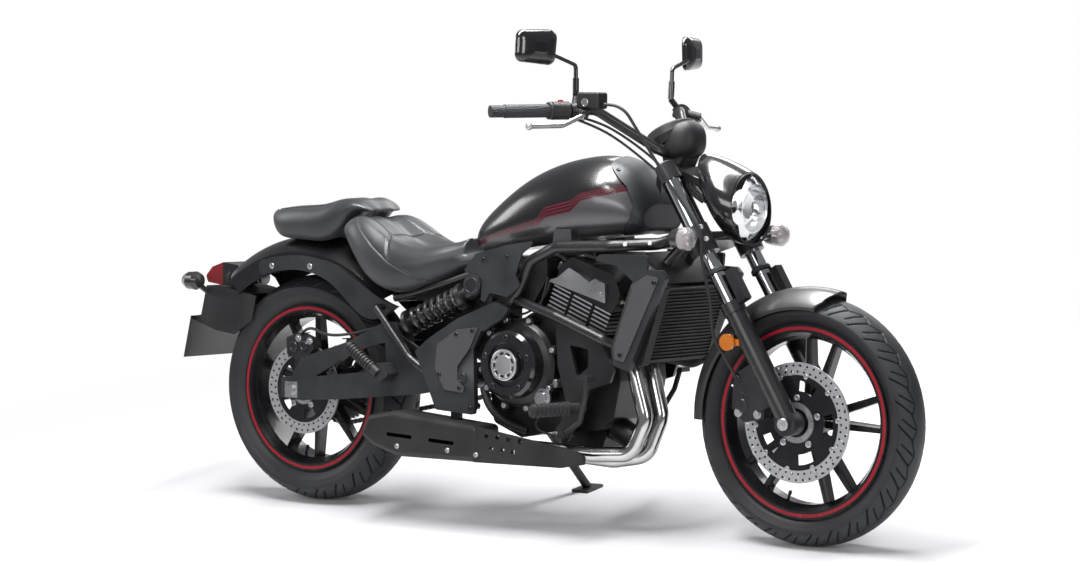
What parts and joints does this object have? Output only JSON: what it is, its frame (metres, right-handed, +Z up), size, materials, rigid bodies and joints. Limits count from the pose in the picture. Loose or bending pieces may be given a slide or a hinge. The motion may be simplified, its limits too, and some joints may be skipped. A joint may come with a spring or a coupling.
{
  "type": "cruiser motorcycle",
  "caption": "Parked cruiser motorcycle: low stepped seat, teardrop tank, open engine, cast spoke wheels, turning fork and a folding side stand.",
  "frame": {"origin": "on the floor, under the middle of the parked machine's box", "axes": "+X forward along the machine, +Y to the rider's left, +Z up; the machine leans to +Y on its side stand"},
  "size_m": [2.3096, 0.8857, 1.3235],
  "materials": {
    "tyre_rubber": "matte black tread rubber",
    "wheel_paint": "gloss black paint, a thin red stripe by each rim edge",
    "disc_steel": "ground steel",
    "chain_steel": "oiled steel",
    "black_plastic": "matte black, fine grain",
    "hard_chrome": "polished hard chrome",
    "satin_black": "satin black powder coat",
    "grip_rubber": "ribbed black rubber",
    "bare_alloy": "satin cast alloy",
    "gloss_black": "gloss black",
    "lamp_glass": "clear lens",
    "signal_plastic": "clear lens in a black shell",
    "amber": "moulded amber",
    "grey_paint": "metallic graphite grey",
    "hose_rubber": "smooth black rubber",
    "dark_grey": "satin dark grey",
    "tank_paint": "gloss black over metallic graphite, with dark red pinstripes",
    "seat_cover": "black, stitched",
    "red_lens": "moulded red",
    "plate_black": "blank",
    "engine_paint": "satin black over cast alloy, edges polished",
    "polished_steel": "polished stainless steel",
    "heat_black": "matte black heat-proof paint"
  },
  "bodies": {
    "chassis": {"chain": "chain_steel", "chain_guard": "black_plastic", "frame": "satin_black", "frame_covers": "dark_grey", "cover_inserts": "grey_paint", "inner_boxes": "black_plastic", "crankcase": "engine_paint", "cylinders": "engine_paint", "header_pipes": "polished_steel", "head_cover": "bare_alloy", "engine_covers": "engine_paint", "radiator": "black_plastic", "radiator_shrouds": "dark_grey", "muffler": "heat_black", "fuel_tank": "tank_paint", "tank_trim": "dark_grey", "pillion_seat": "seat_cover", "rider_seat": "seat_cover", "rear_fender": "black_plastic", "fender_rails": "dark_grey", "tail_lamp": "red_lens", "plate_holder": "black_plastic", "number_plate": "plate_black", "rear_signals": "signal_plastic", "swingarm": "dark_grey", "rear_axle": "bare_alloy", "shock_absorber": "satin_black", "shock_spring": "satin_black", "rear_caliper": "satin_black", "footpegs": "satin_black", "pillion_pegs": "grip_rubber"},
    "steering": {"fork_tubes": "hard_chrome", "fork_sliders": "satin_black", "triple_clamps": "satin_black", "handlebar": "satin_black", "grips": "grip_rubber", "bar_controls": "black_plastic", "levers": "bare_alloy", "mirrors": "gloss_black", "headlight_cowl": "gloss_black", "headlight_lens": "lamp_glass", "instrument_pod": "black_plastic", "front_signals": "signal_plastic", "front_fender": "grey_paint", "front_caliper": "satin_black", "reflectors": "amber", "brake_hose": "hose_rubber"},
    "front_wheel": {"front_tyre": "tyre_rubber", "front_rim": "wheel_paint", "front_disc": "disc_steel"},
    "rear_wheel": {"rear_tyre": "tyre_rubber", "rear_rim": "wheel_paint", "rear_disc": "disc_steel", "rear_sprocket": "chain_steel"},
    "side_stand": {"side_stand": "satin_black"},
    "fuel_cap": {"fuel_cap": "dark_grey"}
  },
  "joints": [
    {"name": "steering_turn", "type": "hinge", "parent": "chassis", "child": "steering", "pos_m": [0.48434, -0.04318, 0.78714], "axis": [-0.515, 0.1341, 0.8466], "range_deg": [-37, 37]},
    {"name": "front_wheel_spin", "type": "hinge", "parent": "steering", "child": "front_wheel", "pos_m": [0.8432, -0.11895, 0.30875], "axis": [0, 0.9877, -0.1564], "continuous": true},
    {"name": "rear_wheel_spin", "type": "hinge", "parent": "chassis", "child": "rear_wheel", "pos_m": [-0.7318, -0.11906, 0.30806], "axis": [0, 0.9877, -0.1564], "continuous": true},
    {"name": "side_stand_fold", "type": "hinge", "parent": "chassis", "child": "side_stand", "pos_m": [-0.0918, 0.02741, 0.21004], "axis": [0.1101, 0.8592, 0.4996], "range_deg": [0, 102]},
    {"name": "fuel_cap_open", "type": "hinge", "parent": "chassis", "child": "fuel_cap", "pos_m": [0.1952, 0.05171, 0.91695], "axis": [0, 0.8192, -0.5736], "range_deg": [0, 95]}
  ]
}
